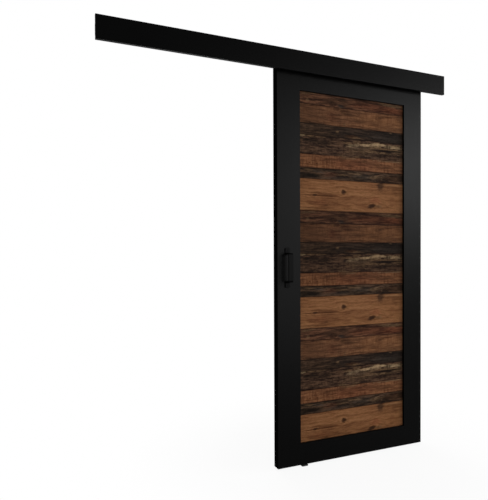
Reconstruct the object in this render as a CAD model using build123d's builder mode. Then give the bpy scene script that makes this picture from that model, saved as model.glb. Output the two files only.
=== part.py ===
from build123d import *
import os

# Sliding barn door: a framed leaf of weathered boards hung from a channel track behind a pelmet.
# Millimetres. The origin lies on the wall, in the middle of the line of wall screws.
# +X runs to the right along the track, +Y into the wall and +Z up.

# Leaf
leaf_width = 900
leaf_height = 2000
leaf_thickness = 42
leaf_rest_x = 360.5
leaf_wall_gap = 19
leaf_round = 1.5

# Frame of the leaf
left_stile_width = 128.5
right_stile_width = 119
top_rail_width = 119
bottom_rail_width = 108
panel_groove_depth = 12
tenon_length = 60
tenon_setback = 25
tenon_thickness = 16
tenon_clearance = 0.2

# Boards of the panel, top to bottom, as shares of the height of the opening
board_height_shares = (
    (58, 96, 59, 96, 70, 54, 163)
    + (64, 96, 58, 98, 68, 54, 161)
    + (62, 96, 58, 98, 67, 55, 140)
)
board_thickness = 16
board_side_clearance = 0.2
board_end_clearance = 1
board_joint_gap = 0.3
board_chamfer = 1
tongue_thickness = 5
tongue_height = 6
tongue_clearance = 0.2

# Header on the wall: cleat, header board and pelmet
pelmet_length = 1886
pelmet_height = 103
pelmet_thickness = 16
pelmet_leaf_gap = 22
pelmet_round = 1.5
header_end_inset = 8
header_board_thickness = 18
cleat_depth = 22
cleat_height = 31
wall_hole_count = 6
wall_hole_radius = 2.6
wall_sink_radius = 5.5
wall_hole_end_distance = 85
dowel_radius = 4
dowel_length = 32
dowel_pelmet_depth = 11
dowel_count = 7
dowel_end_distance = 60
dowel_clearance = 0.1

# Channel track
track_width = 34
track_height = 31
track_wall = 2.5
track_flange = 3
track_slot = 11
track_round = 1
track_screw_count = 6
track_screw_end_distance = 50

# Travel of the leaf from its rest pose, and the stops that end it
travel_left = 720
travel_right = 80
stop_length = 30
stop_side_clearance = 0.3
stop_top_clearance = 0.4
stop_chamfer = 1.5
stop_screw_radius = 3
stop_screw_proud = 2
bumper_radius = 6
bumper_length = 12
bumper_round = 2
bumper_stem_radius = 3
bumper_stem_length = 9
stop_touch_clearance = 0.3

# Trolleys, wheels and hangers
hanger_edge_distance = 185
leaf_top_gap = 11.5
wheel_radius = 11
wheel_width = 6.5
wheel_hub_radius = 4.5
wheel_rim_depth = 2.6
wheel_recess = 1.4
wheel_chamfer = 0.7
wheel_rail_clearance = 0.3
wheel_side_clearance = 0.4
wheel_spacing = 48
axle_radius = 2.5
axle_clearance = 0.05
axle_head_radius = 4
axle_head_thickness = 0.8
axle_end_clearance = 0.2
trolley_length = 76
trolley_width = 12.4
trolley_height = 16
trolley_boss_length = 20
trolley_boss_drop = 2
bolt_radius = 4
bolt_clearance = 0.1
bolt_head_flats = 13
hex_sides = 6
bolt_head_height = 5.3
bolt_end_inset = 1
nut_height = 4
plate_length = 90
plate_width = 30
plate_thickness = 4
plate_round = 5
plate_hole_clearance = 0.3
plate_fit = 0.3
plate_screw_spacing = 62
head_pocket_radius = 11
head_pocket_depth = 9

# Strap pull on the left stile
handle_side = "left"
handle_edge_distance = 54
handle_height = 996
handle_length = 198
handle_inner_height = 132
handle_clear_depth = 36
strap_width = 25
strap_thickness = 6
strap_bend = 5
strap_edge = 0.8
strap_corner = 5
handle_screw_inset = 14

# Floor guide
guide_x = 62.5
guide_length = 36
guide_width = 52
guide_base = 4.5
guide_corner = 6
guide_hole_spacing = 34
guide_hole_radius = 2.2
guide_sink_radius = 4.2
guide_fin_thickness = 6.8
guide_fin_height = 18
guide_fin_round = 2.5
guide_groove_width = 8
guide_groove_depth = 18
floor_gap = 7

# Screws
screw_radius = 2.4
screw_head_radius = 4.6
screw_clearance = 0.1
header_screw_length = 42
track_screw_length = 15
track_screw_head_height = 2.4
plate_screw_length = 45
handle_screw_length = 34
screw_tip_clearance = 0.5

# One overrun serves every cut that leaves a face
overrun = 2

# Levels of height
header_under = cleat_height / 2
header_top = header_under + header_board_thickness
pelmet_bottom = header_top - pelmet_height
track_bottom = header_under - track_height
track_web = header_under - track_wall
rail_level = track_bottom + track_flange
wheel_z = rail_level + wheel_rail_clearance + wheel_radius
leaf_top = track_bottom - leaf_top_gap
leaf_bottom = leaf_top - leaf_height
floor_level = leaf_bottom - floor_gap
opening_top = leaf_top - top_rail_width
opening_bottom = leaf_bottom + bottom_rail_width

# Distances from the wall
leaf_back = -leaf_wall_gap
leaf_mid = leaf_back - leaf_thickness / 2
leaf_front = leaf_back - leaf_thickness
pelmet_back = leaf_front - pelmet_leaf_gap

# Places along the track
leaf_left = leaf_rest_x - leaf_width / 2
leaf_right = leaf_rest_x + leaf_width / 2
opening_left = leaf_left + left_stile_width
opening_right = leaf_right - right_stile_width
opening_width = opening_right - opening_left
header_length = pelmet_length - 2 * header_end_inset
hanger_left_x = leaf_left + hanger_edge_distance
hanger_right_x = leaf_right - hanger_edge_distance
wall_hole_pitch = (header_length - 2 * wall_hole_end_distance) / (wall_hole_count - 1)
dowel_pitch = (header_length - 2 * dowel_end_distance) / (dowel_count - 1)
track_screw_pitch = (header_length - 2 * track_screw_end_distance) / (track_screw_count - 1)
stop_left_face = hanger_left_x - trolley_length / 2 - travel_left - stop_touch_clearance
stop_right_face = hanger_right_x + trolley_length / 2 + travel_right + stop_touch_clearance

panel_groove_width = board_thickness + 2 * board_side_clearance
board_entry = panel_groove_depth - board_end_clearance
screw_hole_radius = screw_radius + screw_clearance
screw_sink_radius = screw_head_radius + screw_clearance
right_angle = 90

os.makedirs("parts", exist_ok=True)


def write(piece, label):
    """Labels a finished piece and writes it under that name."""
    piece.part.label = label
    export_step(piece.part, f"parts/{label}.step")


def row(count, pitch):
    """Places along the track, spaced evenly about its middle."""
    return [(number - (count - 1) / 2) * pitch for number in range(count)]


def facing(x, y, z, direction):
    """A plane at a point whose normal is the side that a screw or a drill comes from."""
    return Plane(origin=(x, y, z), z_dir=direction)


def build_sunk_screws(label, planes, length):
    """Countersunk screws that lie flush with the given planes."""
    with BuildPart() as screws:
        with Locations(*planes):
            Cylinder(screw_radius, length, align=(Align.CENTER, Align.CENTER, Align.MAX))
            Cone(
                screw_radius,
                screw_head_radius,
                screw_head_radius - screw_radius,
                align=(Align.CENTER, Align.CENTER, Align.MAX),
            )
    write(screws, label)


# Screw places, shared by the screws and by the holes that take them
header_screw_planes = [
    facing(x, -cleat_depth / 2, header_top, (0, 0, 1)) for x in row(wall_hole_count - 1, wall_hole_pitch)
]
track_screw_planes = [
    facing(x, leaf_mid, track_web, (0, 0, -1)) for x in row(track_screw_count, track_screw_pitch)
]
plate_screw_planes = [
    facing(hanger_x + side * plate_screw_spacing / 2, leaf_mid, leaf_top, (0, 0, 1))
    for hanger_x in (hanger_left_x, hanger_right_x)
    for side in (-1, 1)
]
handle_x = leaf_left + handle_edge_distance
handle_z = leaf_bottom + handle_height
handle_screw_planes = [
    facing(
        handle_x,
        leaf_front - strap_thickness,
        handle_z + side * (handle_length / 2 - handle_screw_inset),
        (0, -1, 0),
    )
    for side in (-1, 1)
]
dowel_planes = [
    facing(x, pelmet_back - dowel_pelmet_depth, header_top - header_board_thickness / 2, (0, -1, 0))
    for x in row(dowel_count, dowel_pitch)
]

# Wall cleat, screwed to the wall under the header board
with BuildPart() as cleat:
    with BuildSketch(Plane.YZ.offset(-header_length / 2)):
        with Locations((-cleat_depth / 2, 0)):
            Rectangle(cleat_depth, cleat_height)
    extrude(amount=header_length)
    with Locations(*[facing(x, -cleat_depth, 0, (0, -1, 0)) for x in row(wall_hole_count, wall_hole_pitch)]):
        CounterSinkHole(
            wall_hole_radius, wall_sink_radius, depth=cleat_depth + overrun, counter_sink_angle=right_angle
        )
    with Locations(*header_screw_planes):
        Hole(screw_hole_radius, depth=header_screw_length + screw_tip_clearance)
write(cleat, "wall_cleat")

# Header board, the shelf that carries the track
with BuildPart() as header_board:
    with BuildSketch(Plane.XY.offset(header_under)):
        with Locations((0, pelmet_back / 2)):
            Rectangle(header_length, -pelmet_back)
    extrude(amount=header_board_thickness)
    with Locations(*header_screw_planes):
        CounterSinkHole(
            screw_hole_radius,
            screw_sink_radius,
            depth=header_board_thickness + overrun,
            counter_sink_angle=right_angle,
        )
    with Locations(*track_screw_planes):
        Hole(screw_hole_radius, depth=track_screw_length + screw_tip_clearance)
    with Locations(*dowel_planes):
        Hole(dowel_radius + dowel_clearance, depth=dowel_length + screw_tip_clearance)
write(header_board, "header_board")

# Pelmet board that hides the track
with BuildPart() as pelmet:
    with BuildSketch(Plane.YZ.offset(-pelmet_length / 2)):
        with Locations((pelmet_back - pelmet_thickness / 2, (header_top + pelmet_bottom) / 2)):
            Rectangle(pelmet_thickness, pelmet_height)
    extrude(amount=pelmet_length)
    fillet(pelmet.faces().sort_by(Axis.Y)[0].edges(), pelmet_round)
    with Locations(*[plane.offset(-dowel_pelmet_depth) for plane in dowel_planes]):
        Cylinder(
            dowel_radius + dowel_clearance,
            dowel_pelmet_depth + screw_tip_clearance,
            align=(Align.CENTER, Align.CENTER, Align.MIN),
            mode=Mode.SUBTRACT,
        )
write(pelmet, "pelmet_board")

# Dowels between the pelmet and the header board
with BuildPart() as dowels:
    with Locations(*dowel_planes):
        Cylinder(dowel_radius, dowel_length, align=(Align.CENTER, Align.CENTER, Align.MAX))
write(dowels, "pelmet_dowels")

build_sunk_screws("header_screws", header_screw_planes, header_screw_length)

# Channel track, open below along its whole length
with BuildPart() as track:
    with BuildSketch(Plane.YZ.offset(-header_length / 2)):
        with Locations((leaf_mid, header_under)):
            outline = Rectangle(track_width, track_height, align=(Align.CENTER, Align.MAX))
            fillet(outline.vertices(), track_round)
        with Locations((leaf_mid, track_web)):
            Rectangle(
                track_width - 2 * track_wall,
                track_web - rail_level,
                align=(Align.CENTER, Align.MAX),
                mode=Mode.SUBTRACT,
            )
        with Locations((leaf_mid, rail_level)):
            Rectangle(
                track_slot,
                track_flange + overrun,
                align=(Align.CENTER, Align.MAX),
                mode=Mode.SUBTRACT,
            )
    extrude(amount=header_length)
    with Locations(*track_screw_planes):
        Hole(screw_hole_radius, depth=track_wall + overrun)
write(track, "track")

# Pan head screws that hold the track up to the header board
with BuildPart() as track_screws:
    with Locations(*track_screw_planes):
        Cylinder(screw_radius, track_screw_length, align=(Align.CENTER, Align.CENTER, Align.MAX))
        Cylinder(
            screw_head_radius, track_screw_head_height, align=(Align.CENTER, Align.CENTER, Align.MIN)
        )
write(track_screws, "track_screws")


def stop_screw_plane(face_x, outward):
    """Where the set screw of an end stop comes up out of the slot."""
    return facing(face_x + outward * (bumper_length + stop_length / 2), leaf_mid, rail_level, (0, 0, -1))


def build_end_stop(side, face_x, outward):
    """An end stop clamped in the channel, and the rubber bumper on the face that meets the trolley."""
    block_face = face_x + outward * bumper_length
    bumper_plane = facing(block_face, leaf_mid, wheel_z, (-outward, 0, 0))
    with BuildPart() as stop:
        with BuildSketch(Plane.XY.offset(rail_level)):
            with Locations((block_face + outward * stop_length / 2, leaf_mid)):
                Rectangle(stop_length, track_width - 2 * track_wall - 2 * stop_side_clearance)
        extrude(amount=track_web - rail_level - stop_top_clearance)
        chamfer(stop.edges().filter_by(Axis.Z), stop_chamfer)
        with Locations(bumper_plane):
            Hole(bumper_stem_radius + bolt_clearance, depth=bumper_stem_length + screw_tip_clearance)
        with Locations(stop_screw_plane(face_x, outward)):
            Hole(stop_screw_radius + bolt_clearance)
    write(stop, f"end_stop_{side}")

    with BuildPart() as bumper:
        with Locations(bumper_plane):
            Cylinder(bumper_radius, bumper_length, align=(Align.CENTER, Align.CENTER, Align.MIN))
        fillet(bumper.edges().group_by(Axis.X)[-1 if outward < 0 else 0], bumper_round)
        with Locations(bumper_plane):
            Cylinder(bumper_stem_radius, bumper_stem_length, align=(Align.CENTER, Align.CENTER, Align.MAX))
    write(bumper, f"bumper_{side}")


build_end_stop("left", stop_left_face, -1)
build_end_stop("right", stop_right_face, 1)

# Set screws that jam the end stops between the flanges and the web of the track
with BuildPart() as stop_screws:
    with Locations(stop_screw_plane(stop_left_face, -1), stop_screw_plane(stop_right_face, 1)):
        Cylinder(stop_screw_radius, track_web - rail_level, align=(Align.CENTER, Align.CENTER, Align.MAX))
        Cylinder(stop_screw_radius, stop_screw_proud, align=(Align.CENTER, Align.CENTER, Align.MIN))
write(stop_screws, "stop_screws")

# Floor guide, a base with a fin that runs in the groove under the leaf
with BuildPart() as guide:
    with BuildSketch(Plane.XY.offset(floor_level)):
        with Locations((guide_x, leaf_mid)):
            RectangleRounded(guide_length, guide_width, guide_corner)
    extrude(amount=guide_base)
    with BuildSketch(Plane.XY.offset(floor_level)):
        with Locations((guide_x, leaf_mid)):
            RectangleRounded(guide_length, guide_fin_thickness, guide_fin_round)
    extrude(amount=guide_fin_height)
    with Locations(
        *[
            facing(guide_x, leaf_mid + side * guide_hole_spacing / 2, floor_level + guide_base, (0, 0, 1))
            for side in (-1, 1)
        ]
    ):
        CounterSinkHole(
            guide_hole_radius, guide_sink_radius, depth=guide_base + overrun, counter_sink_angle=right_angle
        )
write(guide, "floor_guide")


def cut_guide_groove(from_x, to_x):
    """Cuts the groove that the floor guide runs in along the bottom edge of the piece being built."""
    with Locations((from_x, leaf_mid, leaf_bottom - overrun)):
        Box(
            to_x - from_x,
            guide_groove_width,
            guide_groove_depth + overrun,
            align=(Align.MIN, Align.CENTER, Align.MIN),
            mode=Mode.SUBTRACT,
        )


# Tenon heights and places, shared by the rails and the mortises in the stiles
top_tenon_height = top_rail_width - 2 * tenon_setback
bottom_tenon_height = bottom_rail_width - 2 * tenon_setback
top_tenon_z = leaf_top - top_rail_width / 2
bottom_tenon_z = leaf_bottom + bottom_rail_width / 2


def build_stile(side, outer_x, inner_x):
    """An upright of the frame, mortised for both rails and grooved for the boards."""
    inward = 1 if inner_x > outer_x else -1
    with BuildPart() as stile:
        with BuildSketch(Plane.XY.offset(leaf_bottom)):
            with Locations(((outer_x + inner_x) / 2, leaf_mid)):
                Rectangle(abs(inner_x - outer_x), leaf_thickness)
        extrude(amount=leaf_height)
        outer_face = stile.faces().sort_by(Axis.X)[0 if inward > 0 else -1]
        fillet(stile.edges().filter_by(Axis.X) + outer_face.edges(), leaf_round)
        with BuildSketch(Plane.YZ.offset(inner_x)):
            with Locations((leaf_mid, (opening_top + opening_bottom) / 2)):
                Rectangle(panel_groove_width, opening_top - opening_bottom + 2 * panel_groove_depth)
        extrude(amount=-inward * panel_groove_depth, mode=Mode.SUBTRACT)
        with BuildSketch(Plane.YZ.offset(inner_x)):
            for tenon_z, tenon_height in (
                (top_tenon_z, top_tenon_height),
                (bottom_tenon_z, bottom_tenon_height),
            ):
                with Locations((leaf_mid, tenon_z)):
                    Rectangle(tenon_thickness + 2 * tenon_clearance, tenon_height + 2 * tenon_clearance)
        extrude(amount=-inward * (tenon_length + screw_tip_clearance), mode=Mode.SUBTRACT)
        cut_guide_groove(min(outer_x, inner_x) - overrun, max(outer_x, inner_x) + overrun)
        if side == handle_side:
            with Locations(*handle_screw_planes):
                Hole(screw_hole_radius, depth=handle_screw_length + screw_tip_clearance)
    write(stile, f"{side}_stile")


build_stile("left", leaf_left, opening_left)
build_stile("right", leaf_right, opening_right)


def cut_hanger_seats():
    """Lets the hanger plates into the top edge, with a pocket below each for the head of its bolt."""
    with Locations(*[facing(x, leaf_mid, leaf_top, (0, 0, 1)) for x in (hanger_left_x, hanger_right_x)]):
        Box(
            plate_length + 2 * plate_fit,
            plate_width + 2 * plate_fit,
            2 * plate_thickness,
            mode=Mode.SUBTRACT,
        )
        Hole(head_pocket_radius, depth=plate_thickness + head_pocket_depth)
    with Locations(*plate_screw_planes):
        Hole(screw_hole_radius, depth=plate_screw_length + screw_tip_clearance)


def build_rail(label, rail_z, rail_width, tenon_height, upward):
    """A cross piece of the frame, tenoned at both ends and grooved along its inner edge for the boards."""
    with BuildPart() as rail:
        with BuildSketch(Plane.YZ.offset(opening_left)):
            with Locations((leaf_mid, rail_z)):
                Rectangle(leaf_thickness, rail_width)
        extrude(amount=opening_width)
        fillet(rail.edges().filter_by(Axis.X).group_by(Axis.Z)[-1 if upward > 0 else 0], leaf_round)
        with BuildSketch(Plane.YZ.offset(opening_left - tenon_length)):
            with Locations((leaf_mid, rail_z)):
                Rectangle(tenon_thickness, tenon_height)
        extrude(amount=opening_width + 2 * tenon_length)
        with BuildSketch(Plane.YZ.offset(opening_left)):
            with Locations((leaf_mid, rail_z - upward * (rail_width - panel_groove_depth) / 2)):
                Rectangle(panel_groove_width, panel_groove_depth)
        extrude(amount=opening_width, mode=Mode.SUBTRACT)
        if upward > 0:
            cut_hanger_seats()
        else:
            cut_guide_groove(opening_left - overrun, opening_right + overrun)
    write(rail, label)


build_rail("top_rail", top_tenon_z, top_rail_width, top_tenon_height, 1)
build_rail("bottom_rail", bottom_tenon_z, bottom_rail_width, bottom_tenon_height, -1)


def build_board(number, low, high):
    """One board of the panel, with a tongue above and a groove below, housed in the frame."""
    first = number == 1
    last = number == len(board_height_shares)
    top = high + board_entry if first else high - board_joint_gap / 2
    bottom = low - board_entry if last else low + board_joint_gap / 2
    with BuildPart() as board:
        with BuildSketch(Plane.YZ.offset(opening_left - board_entry)) as section:
            with Locations((leaf_mid, bottom)):
                Rectangle(board_thickness, top - bottom, align=(Align.CENTER, Align.MIN))
            chamfer(section.vertices(), board_chamfer)
            if not first:
                with Locations((leaf_mid, top)):
                    Rectangle(tongue_thickness, tongue_height, align=(Align.CENTER, Align.MIN))
            if not last:
                with Locations((leaf_mid, bottom)):
                    Rectangle(
                        tongue_thickness + 2 * tongue_clearance,
                        tongue_height + tongue_clearance,
                        align=(Align.CENTER, Align.MIN),
                        mode=Mode.SUBTRACT,
                    )
        extrude(amount=opening_width + 2 * board_entry)
    write(board, f"board_{number:02d}")


board_top = opening_top
for board_number, height_share in enumerate(board_height_shares, start=1):
    board_low = board_top - (opening_top - opening_bottom) * height_share / sum(board_height_shares)
    build_board(board_number, board_low, board_top)
    board_top = board_low

# Strap pull, one flat bar bent out from two screw tabs
with BuildPart() as handle:
    with BuildSketch(Plane.YZ.offset(handle_x - strap_width / 2)):
        with BuildLine():
            FilletPolyline(
                (leaf_front, handle_z - handle_length / 2),
                (leaf_front, handle_z - handle_inner_height / 2),
                (leaf_front - handle_clear_depth, handle_z - handle_inner_height / 2),
                (leaf_front - handle_clear_depth, handle_z + handle_inner_height / 2),
                (leaf_front, handle_z + handle_inner_height / 2),
                (leaf_front, handle_z + handle_length / 2),
                radius=(
                    strap_bend + strap_thickness,
                    strap_bend,
                    strap_bend,
                    strap_bend + strap_thickness,
                ),
            )
            offset(amount=strap_thickness, side=Side.LEFT)
        make_face()
    extrude(amount=strap_width)
    tab_ends = handle.faces().filter_by(Axis.Z).sort_by(Axis.Z)
    fillet((tab_ends[0].edges() + tab_ends[-1].edges()).filter_by(Axis.Y), strap_corner)
    chamfer(handle.faces().sort_by(Axis.Y)[0].edges().filter_by(Axis.Z), strap_edge)
    with Locations(*handle_screw_planes):
        CounterSinkHole(
            screw_hole_radius,
            screw_sink_radius,
            depth=strap_thickness + overrun,
            counter_sink_angle=right_angle,
        )
write(handle, "handle")

build_sunk_screws("handle_screws", handle_screw_planes, handle_screw_length)


def build_hanger(side, hanger_x):
    """The plate, bolt and trolley body that carry one end of the leaf."""
    plate_bottom = leaf_top - plate_thickness
    with BuildPart() as plate:
        with BuildSketch(Plane.XY.offset(leaf_top)):
            with Locations((hanger_x, leaf_mid)):
                RectangleRounded(plate_length, plate_width, plate_round)
        extrude(amount=-plate_thickness)
        with Locations(facing(hanger_x, leaf_mid, leaf_top, (0, 0, 1))):
            Hole(bolt_radius + plate_hole_clearance)
        with Locations(
            *[
                facing(hanger_x + end * plate_screw_spacing / 2, leaf_mid, leaf_top, (0, 0, 1))
                for end in (-1, 1)
            ]
        ):
            CounterSinkHole(screw_hole_radius, screw_sink_radius, counter_sink_angle=right_angle)
    write(plate, f"hanger_plate_{side}")

    body_low = wheel_z - trolley_height / 2
    with BuildPart() as trolley:
        with BuildSketch(Plane.XZ.offset(-leaf_mid)):
            with Locations((hanger_x, wheel_z)):
                SlotOverall(trolley_length, trolley_height)
            with Locations((hanger_x, body_low - trolley_boss_drop)):
                Rectangle(
                    trolley_boss_length,
                    trolley_height / 2 + trolley_boss_drop,
                    align=(Align.CENTER, Align.MIN),
                )
        extrude(amount=trolley_width / 2, both=True)
        with Locations(
            *[
                facing(hanger_x + end * wheel_spacing / 2, leaf_mid - trolley_width / 2, wheel_z, (0, -1, 0))
                for end in (-1, 1)
            ]
        ):
            Hole(axle_radius + axle_clearance)
        with Locations(facing(hanger_x, leaf_mid, wheel_z, (0, 0, 1))):
            Cylinder(bolt_radius + bolt_clearance, trolley_length, mode=Mode.SUBTRACT)
    write(trolley, f"trolley_{side}")

    with BuildPart() as bolt:
        with BuildSketch(Plane.XY.offset(plate_bottom)):
            with Locations((hanger_x, leaf_mid)):
                Circle(bolt_radius)
        extrude(amount=wheel_z + trolley_height / 2 - bolt_end_inset - plate_bottom)
        with BuildSketch(Plane.XY.offset(plate_bottom)):
            with Locations((hanger_x, leaf_mid)):
                RegularPolygon(bolt_head_flats / 2, hex_sides, major_radius=False)
        extrude(amount=-bolt_head_height)
    write(bolt, f"hanger_bolt_{side}")


build_hanger("left", hanger_left_x)
build_hanger("right", hanger_right_x)
build_sunk_screws("plate_screws", plate_screw_planes, plate_screw_length)

# Lock nuts that hold the hanger bolts to their plates
with BuildPart() as lock_nuts:
    with BuildSketch(Plane.XY.offset(leaf_top)):
        with Locations((hanger_left_x, leaf_mid), (hanger_right_x, leaf_mid)):
            RegularPolygon(bolt_head_flats / 2, hex_sides, major_radius=False)
            Circle(bolt_radius + bolt_clearance, mode=Mode.SUBTRACT)
    extrude(amount=nut_height)
write(lock_nuts, "lock_nuts")

# Axle pins, headed outside the wheels
wheel_inner = trolley_width / 2 + wheel_side_clearance
axle_reach = wheel_inner + wheel_width + axle_end_clearance
axle_x_places = [
    hanger_x + end * wheel_spacing / 2 for hanger_x in (hanger_left_x, hanger_right_x) for end in (-1, 1)
]
with BuildPart() as axle_pins:
    with Locations(*[facing(x, leaf_mid, wheel_z, (0, -1, 0)) for x in axle_x_places]):
        Cylinder(axle_radius, 2 * axle_reach)
    for side in (-1, 1):
        head_y = leaf_mid + side * axle_reach
        with Locations(*[facing(x, head_y, wheel_z, (0, side, 0)) for x in axle_x_places]):
            Cylinder(
                axle_head_radius, axle_head_thickness, align=(Align.CENTER, Align.CENTER, Align.MIN)
            )
write(axle_pins, "axle_pins")


def build_wheel(label, axle_x, side):
    """A moulded wheel with a hub, a thin web and a rim, turning on its axle pin."""
    middle = leaf_mid + side * (wheel_inner + wheel_width / 2)
    with BuildPart() as wheel:
        with BuildSketch(Plane(origin=(axle_x, middle, wheel_z), x_dir=(0, 1, 0), z_dir=(1, 0, 0))):
            with Locations((0, axle_radius + axle_clearance)):
                tyre = Rectangle(
                    wheel_width,
                    wheel_radius - axle_radius - axle_clearance,
                    align=(Align.CENTER, Align.MIN),
                )
            chamfer(tyre.vertices().group_by(Axis.Z)[-1], wheel_chamfer)
            for face in (-1, 1):
                with Locations((face * wheel_width / 2, wheel_hub_radius)):
                    Rectangle(
                        2 * wheel_recess,
                        wheel_radius - wheel_rim_depth - wheel_hub_radius,
                        align=(Align.CENTER, Align.MIN),
                        mode=Mode.SUBTRACT,
                    )
        revolve(axis=Axis((axle_x, middle, wheel_z), (0, 1, 0)))
    write(wheel, label)


wheel_number = 0
for axle_x in axle_x_places:
    for side in (-1, 1):
        wheel_number += 1
        build_wheel(f"wheel_{wheel_number}", axle_x, side)
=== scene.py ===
"""Sliding barn door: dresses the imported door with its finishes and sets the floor, light and camera."""
import math

import bmesh
import bpy
from mathutils import Matrix, Vector


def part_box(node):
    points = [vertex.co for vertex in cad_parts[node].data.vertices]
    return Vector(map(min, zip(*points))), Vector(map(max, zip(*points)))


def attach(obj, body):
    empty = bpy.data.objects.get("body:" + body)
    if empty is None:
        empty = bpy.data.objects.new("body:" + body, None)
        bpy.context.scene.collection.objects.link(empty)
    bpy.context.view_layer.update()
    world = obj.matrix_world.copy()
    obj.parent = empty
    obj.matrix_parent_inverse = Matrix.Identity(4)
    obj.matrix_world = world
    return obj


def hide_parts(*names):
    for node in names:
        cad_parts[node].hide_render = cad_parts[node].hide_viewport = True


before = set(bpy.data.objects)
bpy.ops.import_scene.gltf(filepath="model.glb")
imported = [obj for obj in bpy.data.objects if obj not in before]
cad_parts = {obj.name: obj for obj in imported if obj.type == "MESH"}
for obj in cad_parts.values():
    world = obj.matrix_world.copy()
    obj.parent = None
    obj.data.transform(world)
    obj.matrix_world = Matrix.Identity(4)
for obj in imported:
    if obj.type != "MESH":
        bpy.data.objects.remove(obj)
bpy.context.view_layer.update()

bl_info = {
    "name": "Sliding Barn Door",
    "version": (1, 0, 0),
    "blender": (4, 5, 0),
    "location": "View3D > Sidebar > Barn Door",
    "description": "Dresses a sliding barn door with weathered boards, black lacquer and steel",
    "category": "Object",
}

LEAF_BODY = "leaf"
HEADER_BODY = "header"
SIDES = ("left", "right")
BOARD_COUNT = 21
WHEEL_COUNT = 8
TONE_NAMES = ("dark_red", "mid_brown", "black_brown", "weathered", "red_brown", "grey_brown", "gold_brown")
LEAF_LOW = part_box("left_stile")[0]
LEAF_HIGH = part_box("right_stile")[1]
LEAF_MIDDLE = (LEAF_LOW + LEAF_HIGH) / 2
OPENING_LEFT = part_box("left_stile")[1].x
OPENING_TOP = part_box("top_rail")[0].z
OPENING_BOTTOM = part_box("bottom_rail")[1].z
FLOOR_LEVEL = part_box("floor_guide")[0].z
TONGUE_HEIGHT = 0.006
MILLIMETRES = 1000

# How close two points count as one, how square to Z a face is picked, and which edges go or stay sharp
SAME_PLACE = 0.000001
WELD_DISTANCE = 0.00001
SQUARE_ON = 0.9
FLAT_ANGLE = math.radians(1)
SMOOTH_ANGLE = math.radians(32)

# Sizes of the fastenings in metres, and shares of their radius or height
HEADER_SCREW_COUNT = 5
TRACK_SCREW_COUNT = 6
TRACK_SCREW_SEAT = 0.0004
SCREW_RADIUS = 0.0024
SCREW_HEAD_RADIUS = 0.0046
SCREW_TIP = 0.005
SCREW_POINT = 0.15
SCREW_SIDES = 32
PAN_HEAD_STEPS = ((0.55, 1.0), (0.30, 0.92), (0.15, 0.80))
SOCKET_RADIUS = 0.0019
SOCKET_DEPTH = 0.0018
CROSS_LENGTH = 0.0052
CROSS_WIDTH = 0.0011
CROSS_DEPTH = 0.0016
CROSS_TAPER = 0.45
SET_SCREW_RADIUS = 0.003
SET_SCREW_CHAMFER = 0.0006
SET_SCREW_END = 0.84
BOLT_RADIUS = 0.004
BOLT_NECK = 0.004
BOLT_PITCH = 0.00125
BOLT_ROOT = 0.85
BOLT_HEAD_HEIGHT = 0.0053
HEXAGON_SIDES = 6
HEXAGON_RADIUS = 0.0065 / math.cos(math.radians(30))
HEXAGON_CHAMFER = 0.0009
BARREL_RADIUS = HEXAGON_RADIUS * 1.03
BARREL_SIDES = 48
BARREL_END = 0.83
NUT_BORE = 0.0041

# Mesh of the boards' worn fronts, in metres
BOARD_CELL_ACROSS = 0.0055
BOARD_CELL_DOWN = 0.0025
BOARD_EDGE_REST = 0.0015

# Relief of the boards: how far its noise is drawn out along each axis, its depth and what scales it
RELIEFS = (
    ("worn_grain", (0.11, 1.0, 0.0095), 0.0004, "grain"),
    ("worn_pits", (0.030, 1.0, 0.0090), 0.0012, "rough"),
    ("saw_marks", (0.011, 1.0, 0.10), 0.0007, "saw"),
)
RELIEF_DETAIL = 4


def from_screen(red, green, blue):
    """A screen colour of 0 to 255 as the linear colour that shaders use."""
    def linear(level):
        share = level / 255
        return share / 12.92 if share <= 0.04045 else ((share + 0.055) / 1.055) ** 2.4

    return tuple(linear(level) for level in (red, green, blue))


def tinted(colour, share):
    """A colour made darker or lighter."""
    return tuple(level * share for level in colour)


class Field:
    """A shader value that Python operators join with Math nodes."""

    def __init__(self, net, socket):
        self.net = net
        self.socket = socket

    def math(self, operation, *values):
        inputs = dict(enumerate(values))
        return self.net.node("ShaderNodeMath", {"operation": operation}, inputs)

    def __add__(self, other):
        return self.math("ADD", self, other)

    __radd__ = __add__

    def __sub__(self, other):
        return self.math("SUBTRACT", self, other)

    def __rsub__(self, other):
        return self.math("SUBTRACT", other, self)

    def __mul__(self, other):
        return self.math("MULTIPLY", self, other)

    __rmul__ = __mul__

    def __pow__(self, other):
        return self.math("POWER", self, other)

    def __abs__(self):
        return self.math("ABSOLUTE", self)

    def exp(self):
        return self.math("EXPONENT", self)

    def sqrt(self):
        return self.math("SQRT", self)

    def sine(self):
        return self.math("SINE", self)

    def most(self, other):
        return self.math("MAXIMUM", self, other)

    def least(self, other):
        return self.math("MINIMUM", self, other)


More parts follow.
